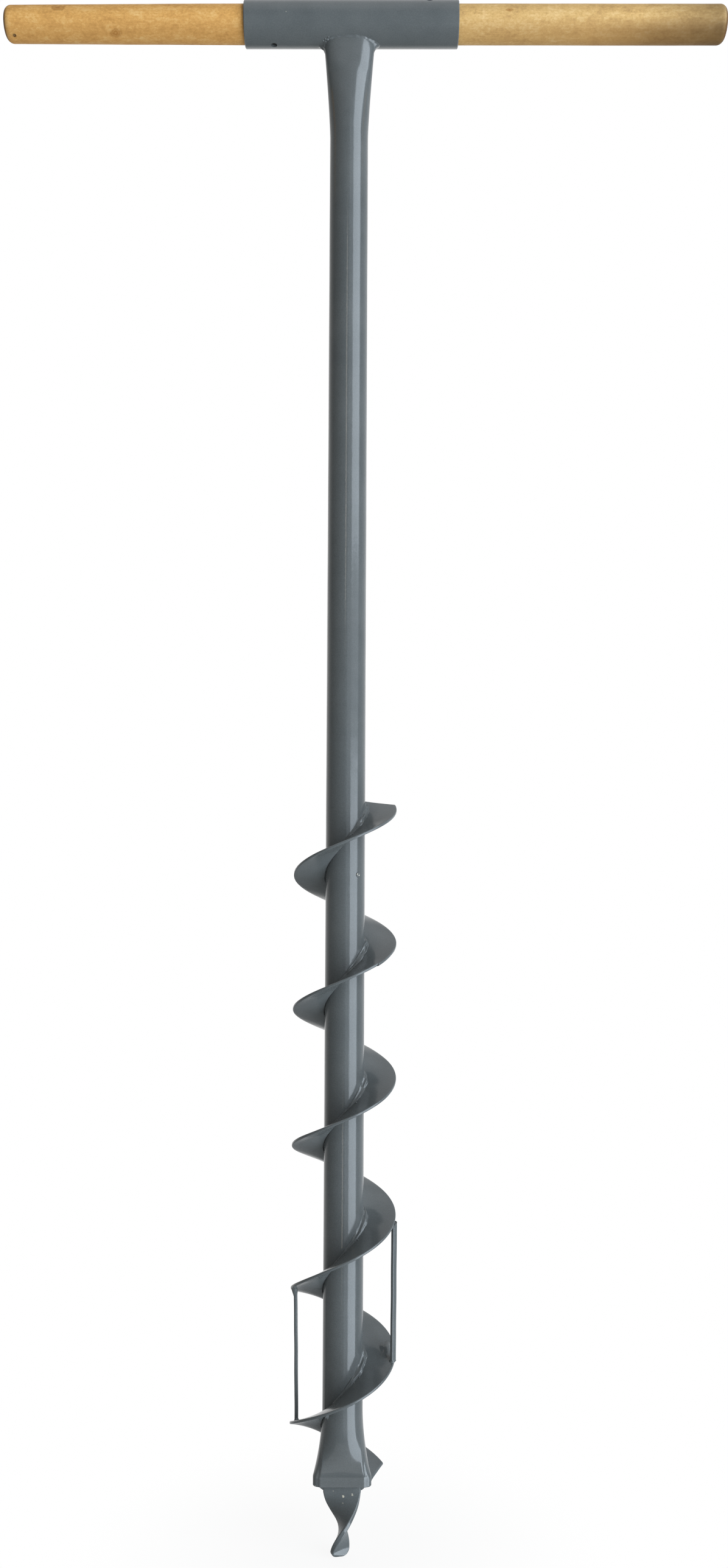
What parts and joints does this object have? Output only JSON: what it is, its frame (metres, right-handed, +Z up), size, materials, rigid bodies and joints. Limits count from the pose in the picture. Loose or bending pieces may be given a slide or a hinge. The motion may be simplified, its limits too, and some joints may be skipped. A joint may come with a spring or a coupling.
{
  "type": "hand earth auger",
  "caption": "Hand earth auger: tube shaft with a right-hand screw of welded flights, soil bars near the rim and a twisted point, turned by a wooden cross handle in a welded socket.",
  "frame": {"origin": "on the shaft axis, at the flat lower end of the screw point", "axes": "+Z up the shaft to the handle, +X along the handle to the right as seen from the front, -Y to the front"},
  "size_m": [0.574, 0.0784, 1.196],
  "materials": {
    "grey_paint": "semi-gloss grey enamel over steel and weld metal",
    "stick_wood": "smooth, thinly varnished light hardwood",
    "nail_steel": "dark plain steel"
  },
  "bodies": {
    "root": {"handle": "stick_wood", "handle_socket": "grey_paint", "handle_nail_left": "nail_steel", "handle_nail_right": "nail_steel", "shaft_tube": "grey_paint", "socket_weld": "grey_paint", "flight_end_piece": "grey_paint", "flight_ring_1": "grey_paint", "flight_ring_2": "grey_paint", "flight_ring_3": "grey_paint", "flight_ring_4": "grey_paint", "flight_weld_1": "grey_paint", "flight_weld_2": "grey_paint", "flight_weld_3": "grey_paint", "flight_weld_4": "grey_paint", "flight_weld_5": "grey_paint", "end_piece_weld": "grey_paint", "underside_tack": "grey_paint", "soil_bar_left": "grey_paint", "soil_bar_right": "grey_paint", "bar_weld_left_low": "grey_paint", "bar_weld_left_top": "grey_paint", "bar_weld_right_low": "grey_paint", "bar_weld_right_top": "grey_paint", "screw_point": "grey_paint", "point_weld_left": "grey_paint", "point_weld_right": "grey_paint"}
  },
  "joints": []
}
